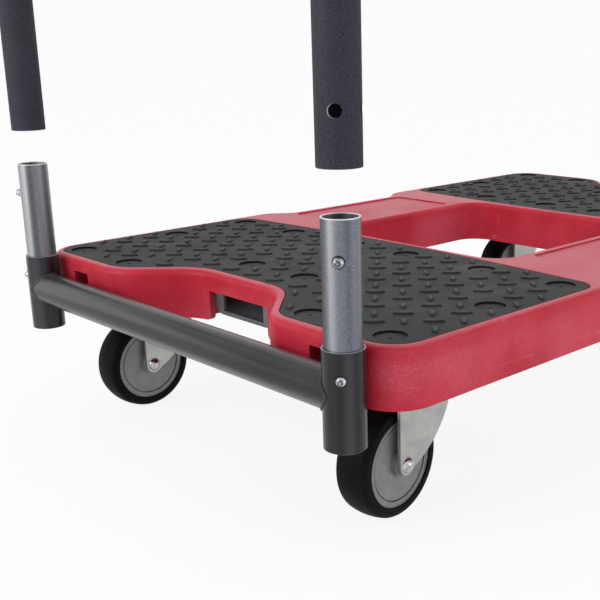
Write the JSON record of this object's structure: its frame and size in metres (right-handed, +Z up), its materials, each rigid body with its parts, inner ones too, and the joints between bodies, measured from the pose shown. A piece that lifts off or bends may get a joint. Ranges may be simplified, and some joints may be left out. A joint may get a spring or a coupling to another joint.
{
  "type": "hand cart dolly",
  "caption": "Low platform hand cart: waisted moulded deck with a central opening and let-in tread pads, swivel casters and a lift-off U push handle on stub tubes with snap buttons.",
  "frame": {"origin": "centre of the bounding box in plan, on the floor under the wheels", "axes": "+X along the deck away from the handle, +Y to the left of a person at the handle, +Z up"},
  "size_m": [0.8496, 0.521, 1.039],
  "materials": {
    "red_moulding": "satin moulded",
    "tread_rubber": "diamond tread",
    "charcoal_paint": "fine speckled powder coat",
    "galvanised_tube": "galvanised",
    "zinc_plate": "zinc plated",
    "dark_steel": "dull zinc, dark",
    "bright_steel": "polished",
    "spring_steel": "blued",
    "hub_grey": "satin moulded",
    "tyre_black": "smooth"
  },
  "bodies": {
    "base": {"deck": "red_moulding", "handle_end_pad": "tread_rubber", "far_end_pad": "tread_rubber", "handle_end_anchor": "dark_steel", "far_end_anchor": "dark_steel", "anchor_rivets": "dark_steel", "caster_bolts": "zinc_plate", "caster_nuts": "zinc_plate", "cross_bar": "charcoal_paint", "left_socket": "charcoal_paint", "left_stub": "galvanised_tube", "left_bar_hook": "charcoal_paint", "left_upper_spring": "spring_steel", "left_lower_spring": "spring_steel", "right_socket": "charcoal_paint", "right_stub": "galvanised_tube", "right_bar_hook": "charcoal_paint", "right_upper_spring": "spring_steel", "right_lower_spring": "spring_steel", "handle_right_caster_plate": "zinc_plate", "handle_right_kingpin": "zinc_plate", "handle_right_race_balls": "bright_steel", "handle_left_caster_plate": "zinc_plate", "handle_left_kingpin": "zinc_plate", "handle_left_race_balls": "bright_steel", "far_right_caster_plate": "zinc_plate", "far_right_kingpin": "zinc_plate", "far_right_race_balls": "bright_steel", "far_left_caster_plate": "zinc_plate", "far_left_kingpin": "zinc_plate", "far_left_race_balls": "bright_steel"},
    "handle": {"handle_tube": "charcoal_paint"},
    "left_upper_button": {"left_upper_button": "bright_steel"},
    "left_lower_button": {"left_lower_button": "bright_steel"},
    "right_upper_button": {"right_upper_button": "bright_steel"},
    "right_lower_button": {"right_lower_button": "bright_steel"},
    "handle_right_swivel": {"handle_right_fork": "zinc_plate", "handle_right_axle_bolt": "bright_steel", "handle_right_axle_nut": "bright_steel", "handle_right_axle_sleeve": "zinc_plate"},
    "handle_right_wheel": {"handle_right_wheel_core": "hub_grey", "handle_right_tyre": "tyre_black"},
    "handle_left_swivel": {"handle_left_fork": "zinc_plate", "handle_left_axle_bolt": "bright_steel", "handle_left_axle_nut": "bright_steel", "handle_left_axle_sleeve": "zinc_plate"},
    "handle_left_wheel": {"handle_left_wheel_core": "hub_grey", "handle_left_tyre": "tyre_black"},
    "far_right_swivel": {"far_right_fork": "zinc_plate", "far_right_axle_bolt": "bright_steel", "far_right_axle_nut": "bright_steel", "far_right_axle_sleeve": "zinc_plate"},
    "far_right_wheel": {"far_right_wheel_core": "hub_grey", "far_right_tyre": "tyre_black"},
    "far_left_swivel": {"far_left_fork": "zinc_plate", "far_left_axle_bolt": "bright_steel", "far_left_axle_nut": "bright_steel", "far_left_axle_sleeve": "zinc_plate"},
    "far_left_wheel": {"far_left_wheel_core": "hub_grey", "far_left_tyre": "tyre_black"}
  },
  "joints": [
    {"name": "handle_lift", "type": "slide", "parent": "base", "child": "handle", "axis": [0, 0, 1], "range_m": [-0.099, 0], "deforming": ["left_upper_button", "right_upper_button"]},
    {"name": "left_upper_button_press", "type": "slide", "parent": "base", "child": "left_upper_button", "axis": [0.766, -0.6428, 0], "range_m": [0, 0.0049], "stiffness_N_per_m": 600, "springref_m": -0.002, "deforming": ["left_upper_spring"]},
    {"name": "left_lower_button_press", "type": "slide", "parent": "base", "child": "left_lower_button", "axis": [0.766, -0.6428, 0], "range_m": [0, 0.0049], "stiffness_N_per_m": 600, "springref_m": -0.002, "deforming": ["left_lower_spring"]},
    {"name": "right_upper_button_press", "type": "slide", "parent": "base", "child": "right_upper_button", "axis": [0.766, 0.6428, 0], "range_m": [0, 0.0049], "stiffness_N_per_m": 600, "springref_m": -0.002, "deforming": ["right_upper_spring"]},
    {"name": "right_lower_button_press", "type": "slide", "parent": "base", "child": "right_lower_button", "axis": [0.766, 0.6428, 0], "range_m": [0, 0.0049], "stiffness_N_per_m": 600, "springref_m": -0.002, "deforming": ["right_lower_spring"]},
    {"name": "handle_right_swivel", "type": "hinge", "parent": "base", "child": "handle_right_swivel", "pos_m": [-0.29325, -0.183, 0.11], "axis": [0, 0, 1], "continuous": true},
    {"name": "handle_right_wheel_spin", "type": "hinge", "parent": "handle_right_swivel", "child": "handle_right_wheel", "pos_m": [-0.32806, -0.18666, 0.048], "axis": [-0.1045, 0.9945, 0], "continuous": true},
    {"name": "handle_left_swivel", "type": "hinge", "parent": "base", "child": "handle_left_swivel", "pos_m": [-0.29325, 0.183, 0.11], "axis": [0, 0, 1], "continuous": true},
    {"name": "handle_left_wheel_spin", "type": "hinge", "parent": "handle_left_swivel", "child": "handle_left_wheel", "pos_m": [-0.32825, 0.183, 0.048], "axis": [0, 1, 0], "continuous": true},
    {"name": "far_right_swivel", "type": "hinge", "parent": "base", "child": "far_right_swivel", "pos_m": [0.32675, -0.183, 0.11], "axis": [0, 0, 1], "continuous": true},
    {"name": "far_right_wheel_spin", "type": "hinge", "parent": "far_right_swivel", "child": "far_right_wheel", "pos_m": [0.29175, -0.183, 0.048], "axis": [0, 1, 0], "continuous": true},
    {"name": "far_left_swivel", "type": "hinge", "parent": "base", "child": "far_left_swivel", "pos_m": [0.32675, 0.183, 0.11], "axis": [0, 0, 1], "continuous": true},
    {"name": "far_left_wheel_spin", "type": "hinge", "parent": "far_left_swivel", "child": "far_left_wheel", "pos_m": [0.29175, 0.183, 0.048], "axis": [0, 1, 0], "continuous": true}
  ]
}
